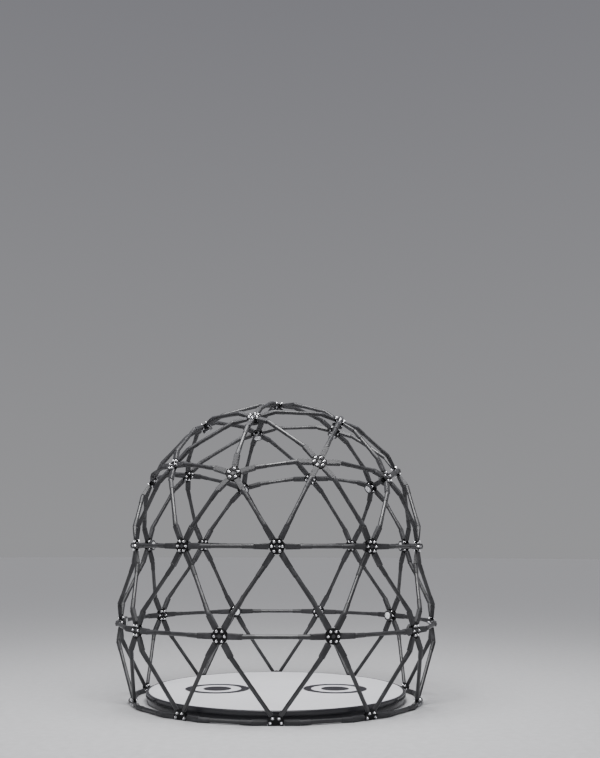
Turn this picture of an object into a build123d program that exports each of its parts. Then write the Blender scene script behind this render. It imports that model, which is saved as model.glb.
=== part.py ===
from build123d import *
from math import atan, cos, degrees, radians, sin, tan
import os

# A geodesic climbing dome that stands round a low training platform. Its struts are straight tubes.
# A cast fitting on each tube end has a flat arm that lies in the plane of its hub, and the tongue of
# that arm is clamped between two round hub plates by one bolt with a cap nut at each end.
# Millimetres. +Z is up, the origin is on the floor in the middle of the dome, the front is at -Y.

# Frame: the upper half is a two-frequency icosahedral half ball, with two ten-sided rings under it.
dome_radius = 1450.0
waist_height = 1512.0
belt_radius = 1575.0
belt_height = 750.0
base_radius = 1420.0

# Tubes and their sockets
tube_diameter = 38.0
tube_wall = 2.0
socket_clearance = 0.1
socket_wall = 2.4
socket_taper = 1.0
socket_length = 92.0
tube_insertion = 60.0
seal_length = 4.0
seal_step = 0.6

# Arms of the end fittings
arm_length = 215.0
arm_shoulder_width = 56.0
arm_shoulder_thickness = 30.0
arm_end_width = 50.0
arm_end_thickness = 38.0
base_arm_width = 44.0
knuckle_length = 8.0
arm_corner = 3.0
arm_gap_at_plate = 3.0
panel_depth = 1.5
panel_margin = 9.0
panel_end_margin = 12.0
tongue_width = 34.0
tongue_thickness = 12.0
foot_spigot_length = 60.0
foot_collar_length = 6.0
floor_gap = 3.0

# Hub plates and their bolts
plate_diameter = 140.0
plate_thickness = 8.0
plate_chamfer = 1.5
bolt_circle = 97.0
bolt_diameter = 12.0
bolt_clearance = 0.5
bolt_grip_in_nut = 12.0
thread_clearance = 0.1
nut_flange_diameter = 25.0
nut_flange_thickness = 2.5
nut_flats = 19.0
nut_hex_height = 11.0
nut_dome_diameter = 18.0
centre_hole_diameter = 20.0
centre_cap_diameter = 33.0
centre_cap_thickness = 2.5
centre_cap_dimple = 8.0

# Light pods on the inner side of some hubs
pod_hole_diameter = 12.0
pod_hole_spacing = 48.0
pod_screw_diameter = 10.0
pod_screw_head_diameter = 13.5
pod_screw_head_height = 3.0
pod_spacer_diameter = 68.0
pod_nut_clearance = 2.0
pod_diameter = 108.0
pod_depth = 26.0
pod_shell = 3.0
pod_bezel_thickness = 4.0
pod_lens_diameter = 74.0
pod_lens_rise = 3.0
pod_board_diameter = 84.0
pod_board_thickness = 1.6
pod_board_height = 13.0
pod_battery_length = 44.0
pod_battery_thickness = 6.0
pod_battery_play = 1.0

# Platform
deck_gap = 36.0
deck_height = 100.0
cover_thickness = 4.0
board_thickness = 18.0
board_joint = 2.0
rim_width = 30.0
rim_depth = 42.0
rim_chamfer = 4.0
plinth_setback = 14.0
plinth_width = 18.0
bearer_width = 45.0
bearer_spacing = 400.0
deck_play = 0.3
foot_ring_diameter = 640.0
foot_ring_width = 80.0
foot_spot_diameter = 280.0
foot_spot_offset = 590.0
foot_spot_thickness = 2.0

tube_radius = tube_diameter / 2
plate_radius = plate_diameter / 2
bolt_ring = bolt_circle / 2
socket_bore = tube_radius + socket_clearance
socket_mouth = socket_bore + socket_wall
socket_root = socket_mouth + socket_taper
base_height = max(socket_root, base_arm_width / 2) + floor_gap
arm_start = plate_radius + arm_gap_at_plate
arm_end = arm_length - knuckle_length
stack = tongue_thickness / 2 + plate_thickness
nut_height = nut_hex_height + nut_dome_diameter / 2
pod_back = stack + nut_height + pod_nut_clearance

# Angles down from the top of the ball to its rings of hubs
five_way_angle = degrees(atan(2))
crown_angle = five_way_angle / 2
six_way_angle = degrees(atan(tan(radians(five_way_angle)) * cos(radians(36))))

CENTRED = (Align.CENTER, Align.CENTER, Align.MIN)


class Hub:
    """One hub: its place, its outward direction, and the directions of the arms that meet there."""

    def __init__(self, azimuth, centre, outward):
        self.azimuth = azimuth
        self.centre = centre
        self.outward = outward
        self.sideways = around(1, azimuth + 90, 0)
        self.arms = []

    def plane(self, height=0.0):
        """The plane of the hub, raised outwards by a height."""
        raised = self.centre + self.outward * height
        return Plane(origin=raised, x_dir=self.sideways, z_dir=self.outward)

    def inner_plane(self):
        """The plane of the hub, facing the inside of the dome."""
        return Plane(origin=self.centre, x_dir=self.sideways, z_dir=self.outward * -1)

    def bolt_points(self):
        """The bolt centres in the hub's own plane."""
        flat = self.plane()
        return [(arm.dot(flat.x_dir) * bolt_ring, arm.dot(flat.y_dir) * bolt_ring) for arm in self.arms]


class End:
    """One end of a strut: its hub, the arm's direction in the hub's plane, and the bend in the arm."""

    def __init__(self, hub, direction, reach):
        self.hub = hub
        self.direction = direction
        self.bend = hub.centre + direction * reach
        hub.arms.append(direction)

    def plane(self):
        """The fitting's own plane, with X along the arm and Z out of the dome."""
        return Plane(origin=self.hub.centre, x_dir=self.direction, z_dir=self.hub.outward)


def around(radius, azimuth, height):
    """A point at an azimuth counted from the front towards +X."""
    turn = radians(azimuth)
    return Vector(radius * sin(turn), -radius * cos(turn), height)


def laid_flat(direction, normal):
    """The direction with its part along the normal taken out."""
    return (direction - normal * direction.dot(normal)).normalized()


def ball_hub(angle, azimuth):
    """A hub of the upper half, at an angle down from the top of the ball."""
    outward = around(sin(radians(angle)), azimuth, cos(radians(angle)))
    return Hub(azimuth, Vector(0, 0, waist_height) + outward * dome_radius, outward)


def belt_hub(azimuth):
    """A hub of the widest ring, whose plates stand upright."""
    return Hub(azimuth, around(belt_radius, azimuth, belt_height), around(1, azimuth, 0))


def belt_bend(hub, base_centre):
    """Where the tube from a belt hub down to a base hub leaves its arm."""
    return hub.centre + laid_flat(base_centre - hub.centre, hub.outward) * arm_length


def base_hub(azimuth):
    """A hub on the floor, whose plates lean with the two tubes that stand on it."""
    centre = around(base_radius, azimuth, base_height)
    rising = Vector(0, 0, 0)
    for side in (-18, 18):
        rising += (belt_bend(belt_hub(azimuth + side), centre) - centre).normalized()
    return Hub(azimuth, centre, around(1, azimuth + 90, 0).cross(rising).normalized())


hubs = {
    "top": [ball_hub(0, 0)],
    "crown": [ball_hub(crown_angle, 72 * k - 18) for k in range(5)],
    "five_way": [ball_hub(five_way_angle, 72 * k - 18) for k in range(5)],
    "six_way": [ball_hub(six_way_angle, 72 * k + 18) for k in range(5)],
    "waist": [ball_hub(90, 36 * k) for k in range(10)],
    "belt": [belt_hub(36 * k + 18) for k in range(10)],
    "base": [base_hub(36 * k) for k in range(10)],
}


def strut(first, second):
    """The two bent ends of a strut between two hubs."""
    span = second.centre - first.centre
    return (
        End(first, laid_flat(span, first.outward), arm_length),
        End(second, laid_flat(span * -1, second.outward), arm_length),
    )


def floor_strut(first, second):
    """A strut of the base ring, whose arms lie level although their hubs lean."""
    span = second.centre - first.centre
    return (
        End(first, laid_flat(span, around(1, first.azimuth, 0)), arm_length),
        End(second, laid_flat(span * -1, around(1, second.azimuth, 0)), arm_length),
    )


def leg_strut(belt, base):
    """A strut down to the floor: bent at the belt, straight into the plates of the base hub."""
    upper = End(belt, laid_flat(base.centre - belt.centre, belt.outward), arm_length)
    return upper, End(base, (upper.bend - base.centre).normalized(), arm_start)


def ring(tier, make=strut):
    """The struts between neighbouring hubs of one tier."""
    row = hubs[tier]
    return [make(row[k], row[(k + 1) % len(row)]) for k in range(len(row))]


def links(upper, lower, pairs, make=strut):
    """The struts between two tiers, from pairs of hub numbers."""
    first, second = hubs[upper], hubs[lower]
    return [make(first[a % len(first)], second[b % len(second)]) for a, b in pairs]


five = range(5)
ten = range(10)
struts = {
    "top_spoke": links("top", "crown", [(0, k) for k in five]),
    "crown_ring": ring("crown"),
    "crown_drop": links("crown", "five_way", [(k, k) for k in five]),
    "crown_fork": links("crown", "six_way", [(k, k - s) for k in five for s in (0, 1)]),
    "shoulder_ring": links("five_way", "six_way", [(k, k - s) for k in five for s in (0, 1)]),
    "five_way_leg": links("five_way", "waist", [(k, 2 * k - s) for k in five for s in (0, 1)]),
    "six_way_leg": links("six_way", "waist", [(k, 2 * k + s) for k in five for s in (0, 1)]),
    "waist_ring": ring("waist"),
    "waist_leg": links("waist", "belt", [(k, k - s) for k in ten for s in (0, 1)]),
    "belt_ring": ring("belt"),
    "belt_leg": links("belt", "base", [(k, k + s) for k in ten for s in (0, 1)], leg_strut),
    "base_ring": ring("base", floor_strut),
}

# The hubs that carry a light pod
pod_hubs = hubs["top"] + hubs["crown"] + hubs["five_way"] + hubs["waist"][1::2] + hubs["belt"][1::2]

os.makedirs("parts", exist_ok=True)


def save(builder, name):
    """Labels a finished piece and writes it to its own file."""
    builder.part.label = name
    export_step(builder.part, f"parts/{name}.step", write_pcurves=False)


def tube_line(pair):
    """The start of a tube's line, its direction and the distance between its two bends."""
    line = pair[1].bend - pair[0].bend
    return pair[0].bend, line.normalized(), line.length


def tube_start(end):
    """How far from the start of its line a tube begins."""
    if end.hub in hubs["base"] and abs(end.direction.Z) > 0.1:
        return foot_collar_length
    return socket_length - tube_insertion


# Tubes, one node for each family of equal struts
for family, pairs in struts.items():
    with BuildPart() as tubes:
        planes, lengths = [], []
        for pair in pairs:
            start, along, reach = tube_line(pair)
            first, last = tube_start(pair[0]), tube_start(pair[1])
            planes.append(Plane(origin=start + along * first, z_dir=along))
            lengths.append(reach - first - last)
        with BuildSketch(*planes):
            Circle(tube_radius)
            Circle(tube_radius - tube_wall, mode=Mode.SUBTRACT)
        extrude(amount=lengths[0])
    save(tubes, f"{family}_tubes")


def tongue(root):
    """The flat tongue between the plates, out to a distance from the hub's centre."""
    with BuildPart() as blade:
        with BuildSketch(Plane.XY.offset(-tongue_thickness / 2)):
            with Locations((bolt_ring, 0)):
                Circle(tongue_width / 2)
            with Locations(((bolt_ring + root) / 2, 0)):
                Rectangle(root - bolt_ring, tongue_width)
            with Locations((bolt_ring, 0)):
                Circle(bolt_diameter / 2 + bolt_clearance, mode=Mode.SUBTRACT)
        extrude(amount=tongue_thickness)
    return blade.part


def panels(near_width, far_width):
    """What is cut away for the shallow panel in each flat face of an arm."""
    length = arm_end - arm_start
    rise = arm_end_thickness / 2 - arm_shoulder_thickness / 2
    near_x, far_x = panel_end_margin, length - 2 * panel_end_margin
    near_y = near_width / 2 - panel_margin
    far_y = far_width / 2 - panel_margin
    with BuildPart() as cuts:
        for side in (1, -1):
            corner = (arm_start, 0, side * arm_shoulder_thickness / 2)
            face = Plane(origin=corner, x_dir=(length, 0, side * rise), z_dir=(-rise, 0, side * length))
            with BuildSketch(face):
                Polygon((near_x, near_y), (near_x, -near_y), (far_x, -far_y), (far_x, far_y), align=None)
            extrude(amount=panel_depth, both=True)
    return cuts.part


def tapered(near_size, far_size):
    """The outline of an arm from its shoulder to its knuckle."""
    near, far = near_size / 2, far_size / 2
    Polygon((arm_start, near), (arm_start, -near), (arm_end, -far), (arm_end, far), align=None)


def socket():
    """The round knuckle and the tapered socket on it, about the tube's line, which is Z."""
    bore_end = socket_length - tube_insertion
    with BuildPart() as turned:
        with BuildSketch(Plane.XZ):
            with BuildLine():
                CenterArc((0, 0), socket_root, -90, 90)
                Polyline(
                    (socket_root, 0),
                    (socket_mouth, socket_length),
                    (socket_bore, socket_length),
                    (socket_bore, bore_end),
                    (0, bore_end),
                    (0, -socket_root),
                )
            make_face()
        revolve()
    return turned.part


def bent_fitting(along, near_width, far_width):
    """A cast end: tongue, flat arm, and a round socket that leaves the arm along the tube's line."""
    with BuildPart() as fitting:
        with BuildSketch():
            tapered(near_width, far_width)
        extrude(amount=socket_root, both=True)
        with BuildSketch(Plane.XZ):
            tapered(arm_shoulder_thickness, arm_end_thickness)
        extrude(amount=near_width, both=True, mode=Mode.INTERSECT)
        long_edges = edges().filter_by(lambda edge: edge.length > arm_end - arm_start)
        chamfer(long_edges, arm_corner)
        add(panels(near_width, far_width), mode=Mode.SUBTRACT)
        add(tongue(arm_start + arm_corner))
        with Locations(Plane(origin=(arm_length, 0, 0), z_dir=along)):
            add(socket())
    return fitting.part


def foot_fitting():
    """A straight end for the tubes that stand on the base hubs: tongue, collar and inner spigot."""
    with BuildPart() as fitting:
        add(tongue(arm_start + foot_collar_length / 2))
        with BuildSketch(Plane.YZ.offset(arm_start)):
            Circle(tube_radius)
        extrude(amount=foot_collar_length)
        with BuildSketch(Plane.YZ.offset(arm_start + foot_collar_length)):
            Circle(tube_radius - tube_wall - socket_clearance)
        extrude(amount=foot_spigot_length)
    return fitting.part


def seat(plane):
    """The placing of a piece that was modelled on the XY plane."""
    return Location(plane)


# End fittings and the seals at their sockets, gathered by the hubs that they bolt to
fitting_kinds = {}
fitting_seats = {}
foot_seats = []
seal_seats = []
for family, pairs in struts.items():
    for pair in pairs:
        start, along, reach = tube_line(pair)
        for end, line in ((pair[0], along), (pair[1], along * -1)):
            if end.hub in hubs["base"] and family == "belt_leg":
                foot_seats.append(seat(end.plane()))
                continue
            tier = next(name for name, row in hubs.items() if end.hub in row)
            own = end.plane()
            local = Vector(line.dot(own.x_dir), line.dot(own.y_dir), line.dot(own.z_dir))
            widths = (arm_shoulder_width, arm_end_width)
            if tier == "base":
                widths = (base_arm_width, base_arm_width)
            kind = (widths, round(local.Y, 3), round(local.Z, 3))
            if kind not in fitting_kinds:
                fitting_kinds[kind] = bent_fitting(local, *widths)
            fitting_seats.setdefault(tier, {}).setdefault(kind, []).append(seat(own))
            mouth = Plane(origin=end.bend + line * socket_length, z_dir=line)
            seal_seats.append(seat(mouth))

for tier, kinds in fitting_seats.items():
    with BuildPart() as fittings:
        for kind, seats in kinds.items():
            with Locations(*seats):
                add(fitting_kinds[kind])
    save(fittings, f"{tier}_end_fittings")

with BuildPart() as foot_fittings:
    with Locations(*foot_seats):
        add(foot_fitting())
save(foot_fittings, "leg_foot_fittings")

with BuildPart() as seal_ring:
    with BuildSketch():
        Circle(socket_mouth - seal_step)
        Circle(socket_bore, mode=Mode.SUBTRACT)
    extrude(amount=seal_length)
with BuildPart() as tube_seals:
    with Locations(*seal_seats):
        add(seal_ring.part)
save(tube_seals, "tube_seals")


# Hub plates. The base plates are cut off level with the floor.
def hub_plates(tier, lower):
    """The plates of one tier, with their lower faces at a height over the planes of the hubs."""
    with BuildPart() as plates:
        for hub in hubs[tier]:
            with BuildSketch(hub.plane(lower)):
                Circle(plate_radius)
                with Locations(*hub.bolt_points()):
                    Circle(bolt_diameter / 2 + bolt_clearance, mode=Mode.SUBTRACT)
                if tier != "base":
                    Circle(centre_hole_diameter / 2, mode=Mode.SUBTRACT)
                    with Locations((-pod_hole_spacing / 2, 0), (pod_hole_spacing / 2, 0)):
                        Circle(pod_hole_diameter / 2, mode=Mode.SUBTRACT)
        extrude(amount=plate_thickness)
        chamfer(edges().filter_by(lambda edge: edge.length > 2 * plate_diameter), plate_chamfer)
        if tier == "base":
            split(bisect_by=Plane.XY, keep=Keep.TOP)
    return plates


for tier in hubs:
    save(hub_plates(tier, tongue_thickness / 2), f"{tier}_outer_plates")
    save(hub_plates(tier, -stack), f"{tier}_inner_plates")

# Bolts and cap nuts
outer_seats, inner_seats = [], []
for tier, row in hubs.items():
    for hub in row:
        for arm in hub.arms:
            centre = hub.centre + arm * bolt_ring
            outer_seats.append(seat(Plane(origin=centre, x_dir=arm, z_dir=hub.outward)))
            inner_seats.append(seat(Plane(origin=centre, x_dir=arm, z_dir=hub.outward * -1)))

with BuildPart() as cap_nut:
    with Locations((0, 0, stack)):
        Cylinder(nut_flange_diameter / 2, nut_flange_thickness, align=CENTRED)
    with BuildSketch(Plane.XY.offset(stack)):
        RegularPolygon(nut_flats / 2, 6, major_radius=False)
    extrude(amount=nut_hex_height)
    with Locations((0, 0, stack + nut_hex_height)):
        Sphere(nut_dome_diameter / 2, arc_size1=0, align=CENTRED)
    with Locations((0, 0, stack)):
        depth = bolt_grip_in_nut + thread_clearance
        Cylinder(bolt_diameter / 2 + thread_clearance, depth, align=CENTRED, mode=Mode.SUBTRACT)

with BuildPart() as outer_cap_nuts:
    with Locations(*outer_seats):
        add(cap_nut.part)
save(outer_cap_nuts, "outer_cap_nuts")

with BuildPart() as inner_cap_nuts:
    with Locations(*inner_seats):
        add(cap_nut.part)
save(inner_cap_nuts, "inner_cap_nuts")

with BuildPart() as hub_bolts:
    with Locations(*outer_seats):
        Cylinder(bolt_diameter / 2, 2 * (stack + bolt_grip_in_nut))
save(hub_bolts, "hub_bolts")

# Round caps in the middle of the outer plates
round_hubs = [hub for tier, row in hubs.items() if tier != "base" for hub in row]
with BuildPart() as centre_cap:
    with Locations((0, 0, stack)):
        Cylinder(centre_cap_diameter / 2, centre_cap_thickness, align=CENTRED)
    with Locations((0, 0, tongue_thickness / 2)):
        Cylinder(centre_hole_diameter / 2 - socket_clearance, plate_thickness, align=CENTRED)
    with Locations((0, 0, stack + centre_cap_thickness)):
        Cylinder(centre_cap_dimple / 2, centre_cap_thickness, mode=Mode.SUBTRACT)
with BuildPart() as hub_centre_caps:
    with Locations(*[seat(hub.plane()) for hub in round_hubs]):
        add(centre_cap.part)
save(hub_centre_caps, "hub_centre_caps")

# Light pods, modelled with Z pointing into the dome and zero at the middle of the hub
pod_seats = [seat(hub.inner_plane()) for hub in pod_hubs]
screw_points = [(-pod_hole_spacing / 2, 0), (pod_hole_spacing / 2, 0)]
pod_floor = pod_back + pod_shell
pod_front = pod_back + pod_depth
pod_radius = pod_diameter / 2
lens_radius = pod_lens_diameter / 2
board_seat = pod_back + pod_board_height


def pod_node(piece, name):
    """Puts one pod piece on each pod hub and saves the group."""
    with BuildPart() as group:
        with Locations(*pod_seats):
            add(piece.part)
    save(group, name)


with BuildPart() as pod_spacer:
    with BuildSketch(Plane.XY.offset(stack)):
        Circle(pod_spacer_diameter / 2)
        with Locations(*screw_points):
            Circle(pod_screw_diameter / 2 + thread_clearance, mode=Mode.SUBTRACT)
    extrude(amount=pod_back - stack)
pod_node(pod_spacer, "pod_spacers")

with BuildPart() as pod_housing:
    with BuildSketch(Plane.XY.offset(pod_back)):
        Circle(pod_radius)
    extrude(amount=pod_depth - pod_bezel_thickness)
    with BuildSketch(Plane.XY.offset(pod_floor)):
        Circle(pod_radius - pod_shell)
        with Locations(*screw_points):
            Circle(pod_screw_diameter / 2 + pod_shell, mode=Mode.SUBTRACT)
    extrude(amount=pod_depth, mode=Mode.SUBTRACT)
    with BuildSketch(Plane.XY.offset(board_seat)):
        Circle(pod_radius - pod_shell)
    extrude(amount=pod_depth, mode=Mode.SUBTRACT)
    with BuildSketch(Plane.XY.offset(pod_back)):
        with Locations(*screw_points):
            Circle(pod_screw_diameter / 2 + thread_clearance)
    extrude(amount=pod_board_height, mode=Mode.SUBTRACT)
    chamfer(faces().sort_by(Axis.Z)[0].outer_wire().edges(), plate_chamfer)
pod_node(pod_housing, "pod_housings")

with BuildPart() as pod_board:
    with BuildSketch(Plane.XY.offset(board_seat)):
        Circle(pod_board_diameter / 2)
    extrude(amount=pod_board_thickness)
pod_node(pod_board, "pod_light_boards")

with BuildPart() as pod_battery:
    boss_radius = pod_screw_diameter / 2 + pod_shell
    battery_width = pod_hole_spacing - 2 * boss_radius - 2 * pod_battery_play
    with Locations((0, 0, board_seat - pod_battery_thickness)):
        Box(battery_width, pod_battery_length, pod_battery_thickness, align=CENTRED)
pod_node(pod_battery, "pod_batteries")

with BuildPart() as pod_bezel:
    with BuildSketch(Plane.XY.offset(pod_front - pod_bezel_thickness)):
        Circle(pod_radius)
        Circle(lens_radius + socket_clearance, mode=Mode.SUBTRACT)
    extrude(amount=pod_bezel_thickness)
    chamfer(faces().sort_by(Axis.Z)[-1].outer_wire().edges(), plate_chamfer)
pod_node(pod_bezel, "pod_bezels")

with BuildPart() as pod_lens:
    with BuildSketch(Plane.XY.offset(pod_front - pod_bezel_thickness)):
        Circle(lens_radius)
    extrude(amount=pod_bezel_thickness + pod_lens_rise)
    fillet(faces().sort_by(Axis.Z)[-1].edges(), pod_lens_rise)
pod_node(pod_lens, "pod_lenses")

with BuildPart() as pod_screw:
    with Locations(*[(x, y, -stack) for x, y in screw_points]):
        Cylinder(pod_screw_diameter / 2, stack + pod_floor, align=CENTRED)
    with Locations(*[(x, y, -stack - pod_screw_head_height) for x, y in screw_points]):
        Cylinder(pod_screw_head_diameter / 2, pod_screw_head_height, align=CENTRED)
pod_node(pod_screw, "pod_screws")

# Platform: bearers and boards inside a stepped round edge, with a pale cover on top
deck_radius = base_radius * cos(radians(18)) - socket_root - deck_gap
board_radius = deck_radius - rim_width
board_top = deck_height - cover_thickness
board_bottom = board_top - board_thickness
rim_bottom = deck_height - rim_depth
plinth_radius = deck_radius - plinth_setback

with BuildPart() as deck_cover:
    with BuildSketch(Plane.XY.offset(board_top)):
        Circle(board_radius - deck_play)
    extrude(amount=cover_thickness)
save(deck_cover, "deck_cover")

with BuildPart() as deck_boards:
    with BuildSketch(Plane.XY.offset(board_bottom)):
        Circle(board_radius - deck_play)
        Rectangle(2 * deck_radius, board_joint, mode=Mode.SUBTRACT)
        Rectangle(board_joint, 2 * deck_radius, mode=Mode.SUBTRACT)
    extrude(amount=board_thickness)
save(deck_boards, "deck_boards")

with BuildPart() as deck_rim:
    with BuildSketch(Plane.XY.offset(rim_bottom)):
        Circle(deck_radius)
        Circle(board_radius, mode=Mode.SUBTRACT)
    extrude(amount=rim_depth)
    chamfer(faces().sort_by(Axis.Z)[-1].outer_wire().edges(), rim_chamfer)
save(deck_rim, "deck_rim")

with BuildPart() as deck_plinth:
    with BuildSketch():
        Circle(plinth_radius)
        Circle(plinth_radius - plinth_width, mode=Mode.SUBTRACT)
    extrude(amount=rim_bottom)
save(deck_plinth, "deck_plinth")

with BuildPart() as deck_bearers:
    reach = 2 * (board_radius - bearer_width)
    rows = int(reach / bearer_spacing)
    with BuildSketch():
        with GridLocations(bearer_spacing, 0, rows, 1):
            Rectangle(bearer_width, 2 * deck_radius)
        Circle(plinth_radius - plinth_width - deck_play, mode=Mode.INTERSECT)
    extrude(amount=board_bottom)
save(deck_bearers, "deck_bearers")

with BuildPart() as foot_spots:
    with BuildSketch(Plane.XY.offset(deck_height)):
        with Locations((-foot_spot_offset, 0), (foot_spot_offset, 0)):
            Circle(foot_ring_diameter / 2)
            Circle(foot_ring_diameter / 2 - foot_ring_width, mode=Mode.SUBTRACT)
            Circle(foot_spot_diameter / 2)
    extrude(amount=foot_spot_thickness)
save(foot_spots, "foot_spots")
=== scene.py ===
from math import atan, atan2, cos, degrees, pi, radians, sin, tan

import bmesh
import bpy
from bpy.props import FloatProperty, FloatVectorProperty, PointerProperty
from bpy.types import Operator, Panel, PropertyGroup
from mathutils import Matrix, Vector


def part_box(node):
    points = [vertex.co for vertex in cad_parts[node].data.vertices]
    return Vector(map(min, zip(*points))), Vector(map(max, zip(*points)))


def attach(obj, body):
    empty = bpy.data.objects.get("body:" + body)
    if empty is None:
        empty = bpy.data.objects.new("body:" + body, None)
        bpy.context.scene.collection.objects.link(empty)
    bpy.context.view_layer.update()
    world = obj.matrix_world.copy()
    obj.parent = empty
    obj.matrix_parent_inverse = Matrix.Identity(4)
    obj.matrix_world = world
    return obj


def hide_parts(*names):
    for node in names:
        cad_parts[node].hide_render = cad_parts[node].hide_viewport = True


bl_info = {
    "name": "Climbing Dome",
    "version": (1, 0, 0),
    "blender": (4, 5, 0),
    "location": "3D View > Sidebar > Climbing Dome",
    "description": "Castings, cap nuts, light pods, platform and finishes for a geodesic climbing dome",
    "category": "Object",
}

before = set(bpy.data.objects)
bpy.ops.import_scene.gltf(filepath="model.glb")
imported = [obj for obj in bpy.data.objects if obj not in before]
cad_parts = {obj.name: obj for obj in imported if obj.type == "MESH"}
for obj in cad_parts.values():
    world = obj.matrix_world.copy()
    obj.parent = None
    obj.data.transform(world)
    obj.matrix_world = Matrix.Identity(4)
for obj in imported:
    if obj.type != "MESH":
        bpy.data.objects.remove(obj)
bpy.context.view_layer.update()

# Boxes of the CAD nodes that give the hubs their places, in metres
TOP_LOW, TOP_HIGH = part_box("top_outer_plates")
TOP_INNER_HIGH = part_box("top_inner_plates")[1]
WAIST_LOW, WAIST_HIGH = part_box("waist_outer_plates")
BELT_LOW, BELT_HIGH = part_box("belt_outer_plates")
FLOOR_TUBE_LOW, FLOOR_TUBE_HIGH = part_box("base_ring_tubes")
RIM_LOW, RIM_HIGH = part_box("deck_rim")
PLINTH_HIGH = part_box("deck_plinth")[1]

# The two plates of a hub, the gap between them, and the rings of hubs
PLATE = TOP_HIGH[2] - TOP_LOW[2]
PLATE_GAP = TOP_LOW[2] - TOP_INNER_HIGH[2]
STACK = PLATE_GAP / 2 + PLATE
WAIST_HEIGHT = (WAIST_LOW[2] + WAIST_HIGH[2]) / 2
BELT_HEIGHT = (BELT_LOW[2] + BELT_HIGH[2]) / 2
BASE_HEIGHT = (FLOOR_TUBE_LOW[2] + FLOOR_TUBE_HIGH[2]) / 2
DOME_RADIUS = TOP_HIGH[2] - STACK - WAIST_HEIGHT
BELT_RADIUS = BELT_HIGH[0] - STACK
HUBS_IN_RING = 10
TIER_TURN = 360 / HUBS_IN_RING


class DomeSizes(PropertyGroup):
    """Sizes of the pieces that are modelled here."""

    base_radius: FloatProperty(
        name="Floor ring radius", description="From the middle to the hubs on the floor",
        default=1.42, unit="LENGTH")
    arm_length: FloatProperty(
        name="Arm length", description="From a hub's centre to the bend of its arm",
        default=0.215, unit="LENGTH")
    arm_start: FloatProperty(
        name="Arm shoulder", description="From a hub's centre to the shoulder of the arm",
        default=0.073, unit="LENGTH")
    arm_shoulder_width: FloatProperty(
        name="Shoulder width", description="Width of an arm beside the hub plates",
        default=0.056, unit="LENGTH")
    arm_shoulder_thickness: FloatProperty(
        name="Shoulder thickness", description="Thickness of an arm beside the hub plates",
        default=0.030, unit="LENGTH")
    arm_end_width: FloatProperty(
        name="Arm end width", description="Width of an arm at its bend",
        default=0.050, unit="LENGTH")
    arm_end_thickness: FloatProperty(
        name="Arm end thickness", description="Thickness of an arm at its bend",
        default=0.038, unit="LENGTH")
    floor_arm_width: FloatProperty(
        name="Floor arm width", description="Width of the arms of the ring on the floor",
        default=0.044, unit="LENGTH")
    knuckle_length: FloatProperty(
        name="Knuckle length", description="From the end of the flat arm to its bend",
        default=0.008, unit="LENGTH")
    socket_root: FloatProperty(
        name="Socket root radius", description="Radius of the round socket at the bend",
        default=0.0225, unit="LENGTH")
    socket_mouth: FloatProperty(
        name="Socket mouth radius", description="Radius of the round socket where the tube comes out",
        default=0.0215, unit="LENGTH")
    socket_length: FloatProperty(
        name="Socket length", description="From the bend to the mouth of the socket",
        default=0.092, unit="LENGTH")
    bolt_ring: FloatProperty(
        name="Bolt ring radius", description="From a hub's centre to its bolts",
        default=0.0485, unit="LENGTH")
    nut_flats: FloatProperty(
        name="Nut flats", description="Size of a cap nut across its flats",
        default=0.019, unit="LENGTH")
    pod_radius: FloatProperty(
        name="Pod radius", description="Radius of a light pod",
        default=0.054, unit="LENGTH")
    lens_radius: FloatProperty(
        name="Lens radius", description="Radius of the opal lens of a pod",
        default=0.037, unit="LENGTH")


class DomeColours(PropertyGroup):
    """Base colours of the finishes."""

    coat: FloatVectorProperty(
        name="Powder coat", description="Coat of the tubes and castings",
        subtype="COLOR", size=4, min=0, max=1, default=(0.018, 0.018, 0.020, 1))
    lens: FloatVectorProperty(
        name="Opal lens", description="White of the pod lenses",
        subtype="COLOR", size=4, min=0, max=1, default=(0.82, 0.83, 0.85, 1))
    cover: FloatVectorProperty(
        name="Platform cover", description="Pale cover of the platform",
        subtype="COLOR", size=4, min=0, max=1, default=(0.66, 0.66, 0.69, 1))
    floor: FloatVectorProperty(
        name="Studio floor", description="Floor of the studio",
        subtype="COLOR", size=4, min=0, max=1, default=(0.42, 0.42, 0.43, 1))


def sizes():
    """The sizes that the operators read."""
    return bpy.context.scene.dome_sizes


def colours():
    """The colours that the operators read."""
    return bpy.context.scene.dome_colours


# ---------------------------------------------------------------- the dome's own geometry


class Hub:
    """One hub: its place, its outward direction and the arms that meet there."""

    def __init__(self, azimuth, centre, outward):
        self.azimuth = azimuth
        self.centre = centre
        self.outward = outward
        self.sideways = around(1, azimuth + 90, 0)
        self.arms = []

    def facing(self, outward=True):
        """A matrix that puts a piece made about +Z on the hub, facing out or in."""
        return on_axes(self.sideways, self.outward if outward else -self.outward, self.centre)


class End:
    """One end of a strut: its hub, the arm's direction in the hub's plane, and its bend."""

    def __init__(self, hub, direction, reach):
        self.hub = hub
        self.direction = direction
        self.bend = hub.centre + direction * reach
        hub.arms.append(direction)


def around(radius, azimuth, height):
    """A point at an azimuth counted from the front towards +X."""
    turn = radians(azimuth)
    return Vector((radius * sin(turn), -radius * cos(turn), height))


def laid_flat(direction, normal):
    """The direction with its part along the normal taken out."""
    return (direction - normal * direction.dot(normal)).normalized()


def on_axes(x_axis, z_axis, origin):
    """The matrix with these X and Z directions and this origin."""
    z = z_axis.normalized()
    x = laid_flat(x_axis, z)
    y = z.cross(x)
    turned = Matrix((x, y, z)).transposed().to_4x4()
    return Matrix.Translation(origin) @ turned


def ball_hub(angle, azimuth):
    """A hub of the upper half, at an angle down from the top of the ball."""
    outward = around(sin(radians(angle)), azimuth, cos(radians(angle)))
    return Hub(azimuth, Vector((0, 0, WAIST_HEIGHT)) + outward * DOME_RADIUS, outward)


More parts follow.
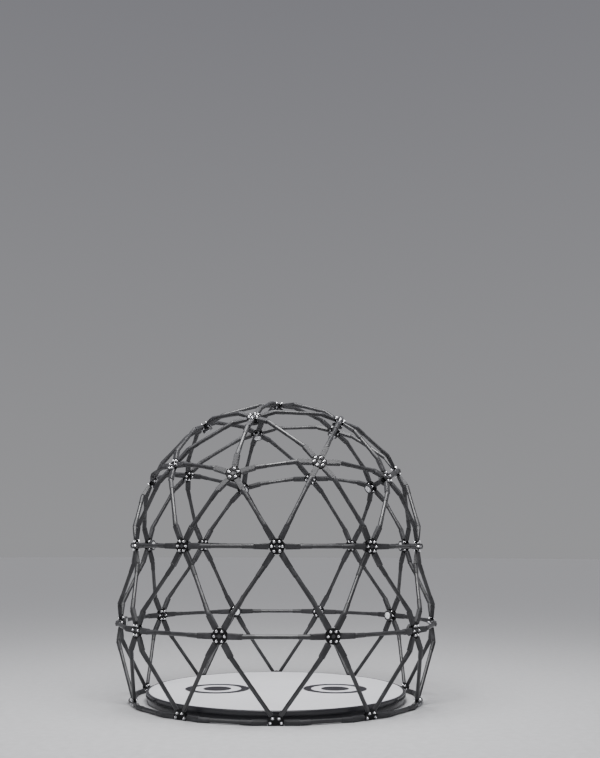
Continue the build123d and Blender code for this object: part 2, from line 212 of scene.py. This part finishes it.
def belt_hub(azimuth):
    """A hub of the widest ring."""
    return Hub(azimuth, around(BELT_RADIUS, azimuth, BELT_HEIGHT), around(1, azimuth, 0))


def base_hub(azimuth):
    """A hub on the floor, which leans with the two tubes that stand on it."""
    centre = around(sizes().base_radius, azimuth, BASE_HEIGHT)
    rising = Vector()
    for side in (-TIER_TURN / 2, TIER_TURN / 2):
        belt = belt_hub(azimuth + side)
        bend = belt.centre + laid_flat(centre - belt.centre, belt.outward) * sizes().arm_length
        rising += (bend - centre).normalized()
    return Hub(azimuth, centre, around(1, azimuth + 90, 0).cross(rising).normalized())


def bent(first, second):
    """The two bent ends of a strut."""
    span = second.centre - first.centre
    reach = sizes().arm_length
    near = End(first, laid_flat(span, first.outward), reach)
    return near, End(second, laid_flat(-span, second.outward), reach)


def level(first, second):
    """A strut of the floor ring, whose arms lie level."""
    span = second.centre - first.centre
    reach = sizes().arm_length
    near = End(first, laid_flat(span, around(1, first.azimuth, 0)), reach)
    return near, End(second, laid_flat(-span, around(1, second.azimuth, 0)), reach)


def leg(belt, base):
    """A strut down to the floor, straight into the plates of its base hub."""
    upper = End(belt, laid_flat(base.centre - belt.centre, belt.outward), sizes().arm_length)
    return upper, End(base, (upper.bend - base.centre).normalized(), sizes().arm_start)


def lay_out():
    """The hubs of the dome by tier, and its struts as pairs of ends."""
    turn, half = TIER_TURN, TIER_TURN / 2
    five_way = degrees(atan(2))
    six_way = degrees(atan(tan(radians(five_way)) * cos(radians(turn))))
    hubs = {
        "top": [ball_hub(0, 0)],
        "crown": [ball_hub(five_way / 2, 2 * turn * k - half) for k in range(5)],
        "five_way": [ball_hub(five_way, 2 * turn * k - half) for k in range(5)],
        "six_way": [ball_hub(six_way, 2 * turn * k + half) for k in range(5)],
        "waist": [ball_hub(90, turn * k) for k in range(10)],
        "belt": [belt_hub(turn * k + half) for k in range(10)],
        "base": [base_hub(turn * k) for k in range(10)],
    }
    struts = []

    def join(upper, lower, pairs, make=bent):
        first, second = hubs[upper], hubs[lower]
        struts.extend(make(first[a % len(first)], second[b % len(second)]) for a, b in pairs)

    join("top", "crown", [(0, k) for k in range(5)])
    join("crown", "five_way", [(k, k) for k in range(5)])
    join("crown", "six_way", [(k, k - s) for k in range(5) for s in (0, 1)])
    join("five_way", "six_way", [(k, k - s) for k in range(5) for s in (0, 1)])
    join("five_way", "waist", [(k, 2 * k - s) for k in range(5) for s in (0, 1)])
    join("six_way", "waist", [(k, 2 * k + s) for k in range(5) for s in (0, 1)])
    join("waist", "belt", [(k, k - s) for k in range(10) for s in (0, 1)])
    join("belt", "base", [(k, k + s) for k in range(10) for s in (0, 1)], leg)
    join("crown", "crown", [(k, k + 1) for k in range(5)])
    join("waist", "waist", [(k, k + 1) for k in range(10)])
    join("belt", "belt", [(k, k + 1) for k in range(10)])
    join("base", "base", [(k, k + 1) for k in range(10)], level)
    return hubs, struts


def pod_hubs(hubs):
    """The hubs that carry a light pod."""
    return hubs["top"] + hubs["crown"] + hubs["five_way"] + hubs["waist"][1::2] + hubs["belt"][1::2]


# ---------------------------------------------------------------- mesh and material helpers


def to_template(bm):
    """Turns a bmesh into a mesh that can be placed many times."""
    bmesh.ops.recalc_face_normals(bm, faces=bm.faces)
    mesh = bpy.data.meshes.new("template")
    bm.to_mesh(mesh)
    bm.free()
    return mesh


def place_all(seats):
    """One bmesh with a copy of a template at every matrix, from pairs of template and matrix."""
    bm = bmesh.new()
    for template, matrix in seats:
        done = len(bm.verts)
        bm.from_mesh(template)
        bm.verts.ensure_lookup_table()
        bmesh.ops.transform(bm, matrix=matrix, verts=bm.verts[done:])
    return bm


def add_piece(name, bm, material, nodes=(), sharp=35.0):
    """Makes an object from a bmesh, smooth up to a sharp angle, that stands for its CAD nodes."""
    mesh = bpy.data.meshes.new(name)
    bm.to_mesh(mesh)
    bm.free()
    mesh.materials.append(material)
    mesh.shade_smooth()
    mesh.set_sharp_from_angle(angle=radians(sharp))
    piece = bpy.data.objects.new(name, mesh)
    bpy.context.collection.objects.link(piece)
    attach(piece, "root")
    if nodes:
        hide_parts(*nodes)
    return piece


def coat_node(node, material):
    """Gives a CAD node's slots one material."""
    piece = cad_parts[node]
    for held in piece.material_slots:
        held.material = material


def lathe(profile, steps):
    """A closed bmesh turned about Z from (radius, height) points that start and end on the axis."""
    bm = bmesh.new()
    points = [bm.verts.new((radius, 0, height)) for radius, height in profile]
    edges = [bm.edges.new(pair) for pair in zip(points, points[1:])]
    bmesh.ops.spin(bm, geom=points + edges, cent=(0, 0, 0), axis=(0, 0, 1), dvec=(0, 0, 0),
                   angle=2 * pi, steps=steps, use_merge=True, use_normal_flip=False, use_duplicate=False)
    bmesh.ops.remove_doubles(bm, verts=bm.verts, dist=1e-6)
    bmesh.ops.recalc_face_normals(bm, faces=bm.faces)
    return bm


def lathe_ring(profile, steps):
    """A closed ring turned about Z from the (radius, height) corners of its section."""
    return lathe(profile + profile[:1], steps)


def new_material(name, colour, roughness, metallic=0.0):
    """A material with its Principled shader, and the node tree's tools."""
    material = bpy.data.materials.new(name)
    material.use_nodes = True
    tree = material.node_tree
    shader = tree.nodes["Principled BSDF"]
    shader.inputs["Base Color"].default_value = tuple(colour)
    shader.inputs["Roughness"].default_value = roughness
    shader.inputs["Metallic"].default_value = metallic
    return material, tree, shader


def add_noise(tree, scale, detail=3.0, roughness=0.5):
    """A noise on Object coordinates."""
    place = tree.nodes.new("ShaderNodeTexCoord")
    noise = tree.nodes.new("ShaderNodeTexNoise")
    noise.inputs["Scale"].default_value = scale
    noise.inputs["Detail"].default_value = detail
    noise.inputs["Roughness"].default_value = roughness
    tree.links.new(place.outputs["Object"], noise.inputs["Vector"])
    return noise


def spread(tree, source, low, high, from_low=0.3, from_high=0.7):
    """A number that runs from low to high as the source runs over its own range."""
    remap = tree.nodes.new("ShaderNodeMapRange")
    remap.inputs["From Min"].default_value = from_low
    remap.inputs["From Max"].default_value = from_high
    remap.inputs["To Min"].default_value = low
    remap.inputs["To Max"].default_value = high
    tree.links.new(source, remap.inputs["Value"])
    return remap.outputs["Result"]


def tint(tree, factor, first, second):
    """A colour between two colours."""
    mix = tree.nodes.new("ShaderNodeMix")
    mix.data_type = "RGBA"
    mix.inputs["A"].default_value = tuple(first)
    mix.inputs["B"].default_value = tuple(second)
    tree.links.new(factor, mix.inputs["Factor"])
    return mix.outputs["Result"]


def add_bump(tree, shader, height, strength, distance):
    """A bump from a height."""
    bump = tree.nodes.new("ShaderNodeBump")
    bump.inputs["Strength"].default_value = strength
    bump.inputs["Distance"].default_value = distance
    tree.links.new(height, bump.inputs["Height"])
    tree.links.new(bump.outputs["Normal"], shader.inputs["Normal"])


def soft_room():
    """A plain room that is pale at the horizon and darker overhead."""
    world = bpy.data.worlds.new("studio")
    world.use_nodes = True
    tree = world.node_tree
    place = tree.nodes.new("ShaderNodeTexCoord")
    parts = tree.nodes.new("ShaderNodeSeparateXYZ")
    tree.links.new(place.outputs["Generated"], parts.inputs["Vector"])
    rise = spread(tree, parts.outputs["Z"], 0.0, 1.0, 0.0, 0.6)
    horizon, overhead = (0.32, 0.32, 0.33, 1), (0.19, 0.19, 0.21, 1)
    tree.links.new(tint(tree, rise, horizon, overhead), tree.nodes["Background"].inputs["Color"])
    return world


def shade_of(colour, factor):
    """A colour made lighter or darker."""
    return tuple(min(1.0, part * factor) for part in tuple(colour)[:3]) + (1,)


# ---------------------------------------------------------------- finishes


def powder_coat(name, colour, gloss, shine=0.4):
    """Satin powder coat: fine orange peel, slow changes of sheen, and pale rubbed patches."""
    material, tree, shader = new_material(name, colour, gloss)
    peel = add_noise(tree, 1400.0, 2.0)
    wear = add_noise(tree, 9.0, 6.0, 0.62)
    handled = spread(tree, wear.outputs["Fac"], 0.0, 1.0, 0.50, 0.74)
    tree.links.new(tint(tree, handled, colour, shade_of(colour, 2.3)), shader.inputs["Base Color"])
    sheen = spread(tree, wear.outputs["Fac"], gloss - 0.06, gloss + 0.12)
    tree.links.new(sheen, shader.inputs["Roughness"])
    shader.inputs["Specular IOR Level"].default_value = shine
    add_bump(tree, shader, peel.outputs["Fac"], 0.25, 0.0002)
    return material


def bright_metal(name, colour, gloss):
    """Polished plated metal with a faint haze."""
    material, tree, shader = new_material(name, colour, gloss, 1.0)
    haze = add_noise(tree, 160.0, 4.0)
    sheen = spread(tree, haze.outputs["Fac"], gloss * 0.7, gloss * 1.5)
    plating = tint(tree, haze.outputs["Fac"], colour, shade_of(colour, 0.88))
    tree.links.new(sheen, shader.inputs["Roughness"])
    tree.links.new(plating, shader.inputs["Base Color"])
    return material


def moulded(name, colour, gloss, grain, depth):
    """Moulded plastic or rubber with an even fine grain."""
    material, tree, shader = new_material(name, colour, gloss)
    cells = add_noise(tree, grain, 2.0)
    slow = add_noise(tree, 14.0, 4.0)
    mottled = tint(tree, slow.outputs["Fac"], shade_of(colour, 0.85), shade_of(colour, 1.25))
    sheen = spread(tree, slow.outputs["Fac"], gloss - 0.06, gloss + 0.08)
    tree.links.new(mottled, shader.inputs["Base Color"])
    tree.links.new(sheen, shader.inputs["Roughness"])
    add_bump(tree, shader, cells.outputs["Fac"], 0.3, depth)
    return material


def opal_plastic(name, colour):
    """Milky lens plastic with a smooth face and a soft glow under it."""
    material, tree, shader = new_material(name, colour, 0.22)
    cloud = add_noise(tree, 45.0, 2.0)
    milk = tint(tree, cloud.outputs["Fac"], shade_of(colour, 0.93), colour)
    tree.links.new(milk, shader.inputs["Base Color"])
    shader.inputs["Subsurface Weight"].default_value = 0.25
    shader.inputs["Subsurface Radius"].default_value = (0.006, 0.006, 0.006)
    shader.inputs["Coat Weight"].default_value = 0.4
    shader.inputs["Coat Roughness"].default_value = 0.12
    return material


def cover_vinyl(name, colour):
    """Pale sports vinyl: fine pebble grain, and faint scuffs where people stand."""
    material, tree, shader = new_material(name, colour, 0.55)
    pebble = tree.nodes.new("ShaderNodeTexVoronoi")
    pebble.inputs["Scale"].default_value = 420.0
    place = tree.nodes.new("ShaderNodeTexCoord")
    tree.links.new(place.outputs["Object"], pebble.inputs["Vector"])
    slow = add_noise(tree, 2.2, 5.0, 0.6)
    scuff = add_noise(tree, 11.0, 9.0, 0.72)
    base = tint(tree, slow.outputs["Fac"], shade_of(colour, 0.93), shade_of(colour, 1.06))
    marks = spread(tree, scuff.outputs["Fac"], 0.0, 0.45, 0.58, 0.78)
    mix = tree.nodes.new("ShaderNodeMix")
    mix.data_type = "RGBA"
    mix.inputs["B"].default_value = shade_of(colour, 0.72)
    tree.links.new(marks, mix.inputs["Factor"])
    tree.links.new(base, mix.inputs["A"])
    tree.links.new(mix.outputs["Result"], shader.inputs["Base Color"])
    sheen = spread(tree, scuff.outputs["Fac"], 0.48, 0.66)
    tree.links.new(sheen, shader.inputs["Roughness"])
    add_bump(tree, shader, pebble.outputs["Distance"], 0.35, 0.0003)
    return material


def plywood(name, colour):
    """Bare birch plywood with long grain."""
    material, tree, shader = new_material(name, colour, 0.6)
    place = tree.nodes.new("ShaderNodeTexCoord")
    stretch = tree.nodes.new("ShaderNodeMapping")
    stretch.inputs["Scale"].default_value = (2.0, 30.0, 60.0)
    grain = tree.nodes.new("ShaderNodeTexNoise")
    grain.inputs["Scale"].default_value = 3.0
    grain.inputs["Detail"].default_value = 6.0
    tree.links.new(place.outputs["Object"], stretch.inputs["Vector"])
    tree.links.new(stretch.outputs["Vector"], grain.inputs["Vector"])
    veneer = tint(tree, grain.outputs["Fac"], shade_of(colour, 0.75), shade_of(colour, 1.15))
    tree.links.new(veneer, shader.inputs["Base Color"])
    add_bump(tree, shader, grain.outputs["Fac"], 0.2, 0.0004)
    return material


def finish(name):
    """The finish with this name, made when it is first asked for."""
    if name in bpy.data.materials:
        return bpy.data.materials[name]
    coat = tuple(colours().coat)
    makers = {
        "tube_coat": lambda: powder_coat(name, coat, 0.34, 0.6),
        "casting_coat": lambda: powder_coat(name, shade_of(coat, 1.15), 0.48, 0.5),
        "plate_coat": lambda: powder_coat(name, shade_of(coat, 0.3), 0.46, 0.15),
        "seal_rubber": lambda: moulded(name, (0.008, 0.008, 0.008, 1), 0.75, 900.0, 0.0002),
        "zinc_steel": lambda: bright_metal(name, (0.55, 0.55, 0.56, 1), 0.3),
        "nut_chrome": lambda: bright_metal(name, (0.74, 0.74, 0.77, 1), 0.14),
        "cap_plastic": lambda: moulded(name, (0.035, 0.035, 0.038, 1), 0.45, 700.0, 0.0002),
        "pod_plastic": lambda: moulded(name, (0.022, 0.022, 0.025, 1), 0.5, 1100.0, 0.0002),
        "lens_opal": lambda: opal_plastic(name, tuple(colours().lens)),
        "board_resist": lambda: moulded(name, (0.02, 0.12, 0.05, 1), 0.35, 500.0, 0.0001),
        "battery_foil": lambda: bright_metal(name, (0.6, 0.6, 0.62, 1), 0.35),
        "screw_black": lambda: powder_coat(name, (0.02, 0.02, 0.022, 1), 0.35),
        "cover_vinyl": lambda: cover_vinyl(name, tuple(colours().cover)),
        "birch_ply": lambda: plywood(name, (0.62, 0.46, 0.28, 1)),
        "rim_black": lambda: moulded(name, (0.012, 0.012, 0.014, 1), 0.28, 260.0, 0.0002),
        "spot_vinyl": lambda: moulded(name, (0.014, 0.013, 0.018, 1), 0.6, 700.0, 0.0003),
        "studio_floor": lambda: moulded(name, tuple(colours().floor), 0.6, 60.0, 0.0002),
    }
    return makers[name]()


# ---------------------------------------------------------------- templates of repeated pieces

CORNERS = 12
CORNER_TURN = 360 / CORNERS
CASTING_CORNER = 0.004
CASTING_EDGE = 0.0015
PANEL_END_MARGIN = 0.013
PANEL_SIDE_MARGIN = 0.0045
PANEL_SLOPE = 0.0012
PANEL_DEPTH = 0.0015
PANEL_STEPS = ((2, 3, 4), (8, 9, 10))
PANEL_STATIONS = {2, 3}
ELBOW_LENGTH = 0.012
KNUCKLE_SLIMNESS = 0.93
TONGUE_WIDTH = 0.034
TONGUE_TIP = 0.034


def casting_section(step, half_width, half_thickness, corner):
    """One of the twelve points round a chamfered bar, counted from the middle of a side face."""
    side, top = half_width - corner, half_thickness - corner
    across = (half_width, half_width, side, 0, -side, -half_width)
    upward = (0, top, half_thickness, half_thickness, half_thickness, top)
    half = CORNERS // 2
    sign = 1 if step < half else -1
    return Vector((across[step % half] * sign, upward[step % half] * sign))


def casting_template(line, shoulder_width, end_width):
    """A cast end along +X in its arm's own frame, with its socket along a line from the bend."""
    size = sizes()
    start, bend = size.arm_start, size.arm_length
    end = bend - size.knuckle_length
    edge, margin = CASTING_EDGE, PANEL_END_MARGIN

    def bar(place, cut):
        share = (place - start) / (end - start)
        width = shoulder_width + (end_width - shoulder_width) * share
        growth = size.arm_end_thickness - size.arm_shoulder_thickness
        height = size.arm_shoulder_thickness + growth * share
        return place, width / 2 - cut, height / 2 - cut, CASTING_CORNER

    bars = [bar(start, edge), bar(start + edge, 0), bar(start + margin, 0),
            bar(end - margin, 0), bar(end - edge, 0), bar(end, edge)]
    forward = Vector((1, 0, 0))
    along = line.normalized()
    elbow = (forward + along).normalized()
    rounds = [
        (forward * end, forward, size.socket_root * KNUCKLE_SLIMNESS),
        (forward * bend, elbow, size.socket_root),
        (forward * bend + along * ELBOW_LENGTH, along, size.socket_root),
        (forward * bend + along * (size.socket_length - edge), along, size.socket_mouth),
        (forward * bend + along * size.socket_length, along, size.socket_mouth - edge),
    ]
    count = len(bars) + len(rounds)
    bm = bmesh.new()
    bmesh.ops.create_cone(bm, cap_ends=True, cap_tris=False, segments=CORNERS,
                          radius1=1, radius2=1, depth=count - 1)
    rising = [rib for rib in bm.edges if abs(rib.verts[0].co.z - rib.verts[1].co.z) > 0.5]
    bmesh.ops.subdivide_edges(bm, edges=rising, cuts=count - 2, use_grid_fill=True)
    level_of = {vert: round(vert.co.z + (count - 1) / 2) for vert in bm.verts}
    step_of = {vert: round(degrees(atan2(vert.co.y, vert.co.x)) / CORNER_TURN) % CORNERS
               for vert in bm.verts}
    for vert in bm.verts:
        station, step = level_of[vert], step_of[vert]
        if station < len(bars):
            spot = casting_section(step, *bars[station][1:])
            vert.co = Vector((bars[station][0], spot.x, spot.y))
            continue
        centre, facing, radius = rounds[station - len(bars)]
        across = laid_flat(Vector((0, 1, 0)), facing)
        turn = radians(CORNER_TURN * step)
        vert.co = centre + (across * cos(turn) + facing.cross(across) * sin(turn)) * radius
    bmesh.ops.recalc_face_normals(bm, faces=bm.faces)
    panels = [
        [face for face in bm.faces
         if {level_of[v] for v in face.verts} == PANEL_STATIONS
         and all(step_of[v] in steps for v in face.verts)]
        for steps in PANEL_STEPS
    ]
    for panel in panels:
        bmesh.ops.inset_region(bm, faces=panel, thickness=PANEL_SIDE_MARGIN, depth=0.0,
                               use_even_offset=True)
        bmesh.ops.inset_region(bm, faces=panel, thickness=PANEL_SLOPE, depth=-PANEL_DEPTH,
                               use_even_offset=True)
    cap = min(bm.faces, key=lambda face: face.calc_center_median().x)
    tongue = bmesh.ops.extrude_discrete_faces(bm, faces=[cap])["faces"][0]
    slim = (1, TONGUE_WIDTH / shoulder_width, PLATE_GAP / size.arm_shoulder_thickness)
    bmesh.ops.scale(bm, vec=slim, verts=tongue.verts)
    tip = bmesh.ops.extrude_discrete_faces(bm, faces=[tongue])["faces"][0]
    bmesh.ops.translate(bm, vec=(TONGUE_TIP - start, 0, 0), verts=tip.verts)
    return to_template(bm)


def cap_nut_template():
    """A flanged domed cap nut that stands on the plate, with Z along its bolt."""
    flange, hexagon, washer, shelf, height = 0.0125, sizes().nut_flats / 2, 0.0020, 0.0026, 0.0200
    bm = bmesh.new()
    bmesh.ops.create_cone(bm, cap_ends=True, cap_tris=False, segments=CORNERS,
                          radius1=flange, radius2=flange, depth=washer)
    bmesh.ops.translate(bm, vec=(0, 0, washer / 2), verts=bm.verts)
    rings = [
        (shelf, flange - 0.0010, False), (shelf, hexagon, True), (0.0104, hexagon, True),
        (0.0112, 0.0090, False), (0.0157, 0.0078, False), (0.0188, 0.0045, False),
    ]
    top = max(bm.faces, key=lambda face: face.calc_center_median().z)
    for rise, radius, six_sided in rings:
        top = bmesh.ops.extrude_discrete_faces(bm, faces=[top])["faces"][0]
        for vert in top.verts:
            angle = atan2(vert.co.y, vert.co.x)
            corner = round(degrees(angle) / CORNER_TURN) % 2 == 0
            reach = radius / cos(pi / 6) if six_sided and corner else radius
            vert.co = Vector((reach * cos(angle), reach * sin(angle), rise))
    crown = bmesh.ops.poke(bm, faces=[top])["verts"][0]
    crown.co.z = height
    bmesh.ops.translate(bm, vec=(0, 0, STACK), verts=bm.verts)
    return to_template(bm)


# ---------------------------------------------------------------- operators

POD_STEPS = 48
PLATFORM_STEPS = 192
FLOOR_STEPS = 96
FLOOR_RADIUS = 90.0


class DOME_OT_tubes(Operator):
    """Coats the straight tubes and their seals"""

    bl_idname = "climbing_dome.tubes"
    bl_label = "Tubes"

    def execute(self, context):
        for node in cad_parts:
            if node.endswith("_tubes"):
                coat_node(node, finish("tube_coat"))
        coat_node("leg_foot_fittings", finish("casting_coat"))
        coat_node("tube_seals", finish("seal_rubber"))
        return {"FINISHED"}


class DOME_OT_castings(Operator):
    """Models the cast arms and sockets on the ends of the tubes"""

    bl_idname = "climbing_dome.castings"
    bl_label = "Cast ends"

    def execute(self, context):
        hubs, struts = lay_out()
        tiers = {tier: [] for tier in hubs}
        templates = {}
        for pair in struts:
            line = (pair[1].bend - pair[0].bend).normalized()
            for end, along in ((pair[0], line), (pair[1], -line)):
                tier = next(name for name, row in hubs.items() if end.hub in row)
                # The straight feet of the legs keep their CAD shape
                is_foot = tier == "base" and abs(end.direction.z) > 0.1
                if is_foot:
                    continue
                seat = on_axes(end.direction, end.hub.outward, end.hub.centre)
                local = seat.to_3x3().inverted() @ along
                widths = (sizes().arm_shoulder_width, sizes().arm_end_width)
                if tier == "base":
                    widths = (sizes().floor_arm_width, sizes().floor_arm_width)
                kind = (round(local.y, 3), round(local.z, 3), widths)
                if kind not in templates:
                    templates[kind] = casting_template(local, *widths)
                tiers[tier].append((templates[kind], seat))
        for tier, seats in tiers.items():
            add_piece(f"{tier}_castings", place_all(seats), finish("casting_coat"),
                      [f"{tier}_end_fittings"])
        return {"FINISHED"}


class DOME_OT_hubs(Operator):
    """Finishes the hub plates, their caps and bolts, and models the cap nuts"""

    bl_idname = "climbing_dome.hubs"
    bl_label = "Hub plates and nuts"

    def execute(self, context):
        hubs = lay_out()[0]
        for tier in hubs:
            coat_node(f"{tier}_outer_plates", finish("plate_coat"))
            coat_node(f"{tier}_inner_plates", finish("plate_coat"))
        coat_node("hub_centre_caps", finish("cap_plastic"))
        coat_node("hub_bolts", finish("zinc_steel"))
        nut = cap_nut_template()
        for side, node in ((1, "outer_cap_nuts"), (-1, "inner_cap_nuts")):
            seats = []
            for row in hubs.values():
                for hub in row:
                    for arm in hub.arms:
                        centre = hub.centre + arm * sizes().bolt_ring
                        seats.append((nut, on_axes(arm, hub.outward * side, centre)))
            name = node.replace("cap", "domed")
            add_piece(name, place_all(seats), finish("nut_chrome"), [node])
        return {"FINISHED"}


class DOME_OT_pods(Operator):
    """Models the shells, bezels and lenses of the light pods"""

    bl_idname = "climbing_dome.pods"
    bl_label = "Light pods"

    def execute(self, context):
        seats = [hub.facing(outward=False) for hub in pod_hubs(lay_out()[0])]
        radius, lens = sizes().pod_radius, sizes().lens_radius
        nut_room, depth, wall, bezel_depth, screw_opening = 0.022, 0.026, 0.003, 0.004, 0.012
        back = STACK + nut_room
        front = back + depth
        split = front - bezel_depth
        shell = lathe_ring([
            (screw_opening, back), (radius - 0.004, back), (radius - 0.0012, back + 0.0012),
            (radius, back + 0.004), (radius, split - 0.0035), (radius - 0.0008, split - 0.0030),
            (radius - 0.0008, split - 0.0012), (radius - 0.0003, split), (radius - wall, split),
            (radius - wall, back + wall), (screw_opening, back + wall)], POD_STEPS)
        bezel = lathe_ring([
            (lens + 0.0001, split), (radius - 0.0003, split), (radius, split + 0.0008),
            (radius - 0.0002, front - 0.0018), (radius - 0.0020, front - 0.0001), (radius - 0.0035, front),
            (lens + 0.0040, front - 0.0008), (lens + 0.0012, front - 0.0014),
            (lens + 0.0001, front - 0.0020)], POD_STEPS)
        dome = lathe([
            (0.0, split), (lens, split), (lens, front - 0.0006), (lens - 0.0006, front + 0.0004),
            (lens * 0.93, front + 0.0012), (lens * 0.75, front + 0.0020), (lens * 0.5, front + 0.0026),
            (lens * 0.25, front + 0.0029), (0.0, front + 0.0030)], POD_STEPS)
        for bm, name, material, slot, node in (
            (shell, "pod_shells", "pod_plastic", "pod_black", "pod_housings"),
            (bezel, "pod_rings", "pod_plastic", "pod_black", "pod_bezels"),
            (dome, "pod_opals", "lens_opal", "lens_white", "pod_lenses"),
        ):
            template = to_template(bm)
            add_piece(name, place_all([(template, seat) for seat in seats]), finish(material), [node])
        coat_node("pod_spacers", finish("pod_plastic"))
        coat_node("pod_light_boards", finish("board_resist"))
        coat_node("pod_batteries", finish("battery_foil"))
        coat_node("pod_screws", finish("screw_black"))
        return {"FINISHED"}


class DOME_OT_platform(Operator):
    """Models the stepped edge of the platform and finishes its cover"""

    bl_idname = "climbing_dome.platform"
    bl_label = "Platform"

    def execute(self, context):
        outer, low, high = RIM_HIGH[0], RIM_LOW[2], RIM_HIGH[2]
        rim_width, plinth_width = 0.030, 0.018
        inner = outer - rim_width
        rim = lathe_ring([
            (inner, low), (outer - 0.001, low), (outer, low + 0.001), (outer, high - 0.009),
            (outer - 0.0008, high - 0.0055), (outer - 0.0026, high - 0.0026),
            (outer - 0.0055, high - 0.0008), (outer - 0.009, high), (inner + 0.002, high),
            (inner + 0.0006, high - 0.0006), (inner, high - 0.002)], PLATFORM_STEPS)
        add_piece("deck_rim_moulding", rim, finish("rim_black"), ["deck_rim"])
        wide, top = PLINTH_HIGH[0], PLINTH_HIGH[2]
        plinth = lathe_ring([
            (wide - plinth_width, 0.0), (wide - 0.001, 0.0), (wide, 0.001), (wide, 0.012),
            (wide - 0.0015, 0.0135), (wide - 0.0015, top), (wide - plinth_width, top)], PLATFORM_STEPS)
        add_piece("deck_plinth_band", plinth, finish("rim_black"), ["deck_plinth"])
        coat_node("deck_cover", finish("cover_vinyl"))
        coat_node("deck_boards", finish("birch_ply"))
        coat_node("deck_bearers", finish("birch_ply"))
        coat_node("foot_spots", finish("spot_vinyl"))
        return {"FINISHED"}


def add_floor():
    """The plain floor that the dome stands on."""
    bm = bmesh.new()
    bmesh.ops.create_circle(bm, cap_ends=True, segments=FLOOR_STEPS, radius=FLOOR_RADIUS)
    mesh = bpy.data.meshes.new("studio_floor")
    bm.to_mesh(mesh)
    bm.free()
    mesh.materials.append(finish("studio_floor"))
    floor = bpy.data.objects.new("studio_floor", mesh)
    bpy.context.collection.objects.link(floor)


def add_softbox(name, place, target, size, power):
    """A round soft light at a place that shines at a target, in metres and watts."""
    lamp = bpy.data.lights.new(name, "AREA")
    lamp.shape = "DISK"
    lamp.size = size
    lamp.energy = power
    light = bpy.data.objects.new(name, lamp)
    light.location = place
    light.rotation_euler = (Vector(target) - Vector(place)).to_track_quat("-Z", "Y").to_euler()
    bpy.context.collection.objects.link(light)


def add_soft_ceiling():
    """The broad even light from above."""
    sky = bpy.data.lights.new("soft_ceiling", "SUN")
    sky.energy = 1.9
    sky.angle = radians(40)
    ceiling = bpy.data.objects.new("soft_ceiling", sky)
    ceiling.rotation_euler = (radians(14), radians(-8), 0)
    bpy.context.collection.objects.link(ceiling)


def add_front_camera():
    """A low camera in front of the dome that looks slightly up."""
    place = (0.0148, -10.019, 1.549)
    yaw, pitch, roll = radians(1.2255), 0.1683, 0.003
    camera = bpy.data.cameras.new("front_view")
    camera.lens = 45.61
    camera.sensor_width = 36.0
    camera.clip_end = 200.0
    eye = bpy.data.objects.new("front_view", camera)
    bpy.context.collection.objects.link(eye)
    level_view = Matrix.Rotation(-yaw, 4, "Z") @ Matrix.Rotation(pi / 2 + pitch, 4, "X")
    eye.matrix_world = Matrix.Translation(place) @ level_view @ Matrix.Rotation(roll, 4, "Z")
    return eye


class DOME_OT_stage(Operator):
    """Adds the studio floor, the lights and the camera"""

    bl_idname = "climbing_dome.stage"
    bl_label = "Studio"

    def execute(self, context):
        add_floor()
        add_softbox("overhead", (0.0, -1.8, 6.8), (0, 0, 0.9), 4.5, 760.0)
        add_softbox("front_left", (-5.5, -7.5, 5.0), (0, 0, 1.3), 3.5, 90.0)
        add_softbox("right_side", (7.0, 1.0, 4.5), (0, 0, 1.4), 2.5, 60.0)
        add_soft_ceiling()
        context.scene.world = soft_room()
        context.scene.camera = add_front_camera()
        return {"FINISHED"}


STEPS = (DOME_OT_tubes, DOME_OT_castings, DOME_OT_hubs, DOME_OT_pods, DOME_OT_platform, DOME_OT_stage)


class DOME_PT_panel(Panel):
    """Lists the steps that build the dome"""

    bl_idname = "DOME_PT_panel"
    bl_label = "Climbing Dome"
    bl_space_type = "VIEW_3D"
    bl_region_type = "UI"
    bl_category = "Climbing Dome"

    def draw(self, context):
        layout = self.layout
        for group in (context.scene.dome_sizes, context.scene.dome_colours):
            for name in group.__annotations__:
                layout.prop(group, name)
        for step in STEPS:
            layout.operator(step.bl_idname)


CLASSES = (DomeSizes, DomeColours, *STEPS, DOME_PT_panel)


def register():
    """Registers the classes and hangs the settings on the scene."""
    for cls in CLASSES:
        bpy.utils.register_class(cls)
    bpy.types.Scene.dome_sizes = PointerProperty(type=DomeSizes)
    bpy.types.Scene.dome_colours = PointerProperty(type=DomeColours)


def unregister():
    """Takes the settings and the classes away again."""
    del bpy.types.Scene.dome_colours
    del bpy.types.Scene.dome_sizes
    for cls in reversed(CLASSES):
        bpy.utils.unregister_class(cls)


def main():
    """Builds everything in order."""
    register()
    bpy.ops.climbing_dome.tubes()
    bpy.ops.climbing_dome.castings()
    bpy.ops.climbing_dome.hubs()
    bpy.ops.climbing_dome.pods()
    bpy.ops.climbing_dome.platform()
    bpy.ops.climbing_dome.stage()


if __name__ == "__main__":
    main()
